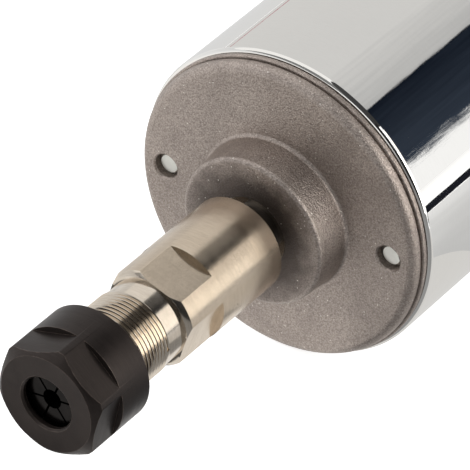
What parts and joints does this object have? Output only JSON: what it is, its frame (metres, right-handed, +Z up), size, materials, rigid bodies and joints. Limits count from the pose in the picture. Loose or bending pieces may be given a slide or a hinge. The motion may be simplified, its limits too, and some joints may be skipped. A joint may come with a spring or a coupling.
{
  "type": "motor spindle",
  "caption": "Round air-cooled brushed spindle motor with a stepped chuck rod, spring collet and hexagonal clamping nut.",
  "frame": {"origin": "on the spindle axis, at the front end of the can's straight side, which is what a clamp holds", "axes": "+Y along the spindle axis from the nut to the fan cover, +Z up through the upper brush, X through the two tie bolts"},
  "size_m": [0.052, 0.2165, 0.052],
  "materials": {
    "chrome_plate": "mirror-polished chrome plate with fine turning lines",
    "blasted_casting": "bead-blasted die casting, warm grey",
    "plain_casting": "as-cast die casting, lightly tumbled",
    "ground_steel": "ground steel, satin, slightly warm",
    "shaft_steel": "ground steel, bright",
    "collet_steel": "polished spring steel",
    "black_oxide": "black-oxide turned and milled steel, satin",
    "plated_screws": "zinc-plated steel",
    "bearing_steel": "ground and polished bearing steel",
    "ferrite": "ground ferrite, dull dark grey",
    "lamination_steel": "stacked electrical steel",
    "enamelled_copper": "enamelled copper wire, varnished",
    "commutator_copper": "turned copper",
    "brown_moulding": "brown phenolic moulding",
    "black_moulding": "black glass-filled nylon, fine grain",
    "sheet_brass": "bright sheet brass",
    "spring_wire": "bright spring wire",
    "brush_carbon": "pressed carbon, dull"
  },
  "bodies": {
    "motor_housing": {"can_tube": "chrome_plate", "front_cap": "blasted_casting", "rear_bell": "plain_casting", "tie_bolts": "plated_screws", "bolt_washers": "plated_screws", "spring_washer": "plated_screws", "fan_cover": "black_moulding", "cover_screws": "plated_screws", "upper_magnet": "ferrite", "lower_magnet": "ferrite", "upper_brush_sleeve": "sheet_brass", "lower_brush_sleeve": "sheet_brass", "upper_brush_insulator": "brown_moulding", "lower_brush_insulator": "brown_moulding", "upper_brush_cap": "black_moulding", "lower_brush_cap": "black_moulding", "upper_brush_spring": "spring_wire", "lower_brush_spring": "spring_wire", "upper_terminal_tab": "sheet_brass", "lower_terminal_tab": "sheet_brass", "upper_terminal_bush": "brown_moulding", "lower_terminal_bush": "brown_moulding", "front_bearing_outer_ring": "bearing_steel", "rear_bearing_outer_ring": "bearing_steel", "front_bearing_shields": "bearing_steel", "rear_bearing_shields": "bearing_steel"},
    "rotor": {"motor_shaft": "shaft_steel", "spindle_rod": "ground_steel", "armature_core": "lamination_steel", "end_discs": "brown_moulding", "armature_windings": "enamelled_copper", "commutator_bars": "commutator_copper", "commutator_hub": "brown_moulding", "front_bearing_inner_ring": "bearing_steel", "rear_bearing_inner_ring": "bearing_steel", "cooling_fan": "black_moulding", "fan_clip": "plated_screws"},
    "front_ball_set": {"front_bearing_balls": "bearing_steel", "front_bearing_cage": "bearing_steel"},
    "rear_ball_set": {"rear_bearing_balls": "bearing_steel", "rear_bearing_cage": "bearing_steel"},
    "upper_brush_block": {"upper_brush": "brush_carbon"},
    "lower_brush_block": {"lower_brush": "brush_carbon"},
    "collet_body": {"collet": "collet_steel"},
    "nut_body": {"collet_nut": "black_oxide"}
  },
  "joints": [
    {"name": "spindle_spin", "type": "hinge", "parent": "motor_housing", "child": "rotor", "pos_m": [0, 0, 0], "axis": [0, -1, 0], "continuous": true},
    {"name": "front_cage_roll", "type": "hinge", "parent": "motor_housing", "child": "front_ball_set", "pos_m": [0, -0.0057, 0], "axis": [0, -1, 0], "continuous": true},
    {"name": "rear_cage_roll", "type": "hinge", "parent": "motor_housing", "child": "rear_ball_set", "pos_m": [0, 0.126, 0], "axis": [0, -1, 0], "continuous": true},
    {"name": "collet_travel", "type": "slide", "parent": "rotor", "child": "collet_body", "axis": [0, -1, 0], "range_m": [0, 0.0024]},
    {"name": "nut_turn", "type": "hinge", "parent": "collet_body", "child": "nut_body", "pos_m": [0, -0.05495, 0], "axis": [0, -1, 0], "range_deg": [0, 1152]},
    {"name": "upper_brush_lift", "type": "slide", "parent": "motor_housing", "child": "upper_brush_block", "axis": [0, 0, 1], "range_m": [0, 0.002], "stiffness_N_per_m": 300, "springref_m": -0.003, "deforming": ["upper_brush_spring"]},
    {"name": "lower_brush_lift", "type": "slide", "parent": "motor_housing", "child": "lower_brush_block", "axis": [0, 0, -1], "range_m": [0, 0.002], "stiffness_N_per_m": 300, "springref_m": -0.003, "deforming": ["lower_brush_spring"]}
  ],
  "couplings": [
    {"joint": "front_cage_roll", "follows": "spindle_spin", "ratio": 0.375},
    {"joint": "rear_cage_roll", "follows": "spindle_spin", "ratio": 0.375},
    {"joint": "nut_turn", "follows": "collet_travel", "rad_per_m": 8377.6}
  ]
}
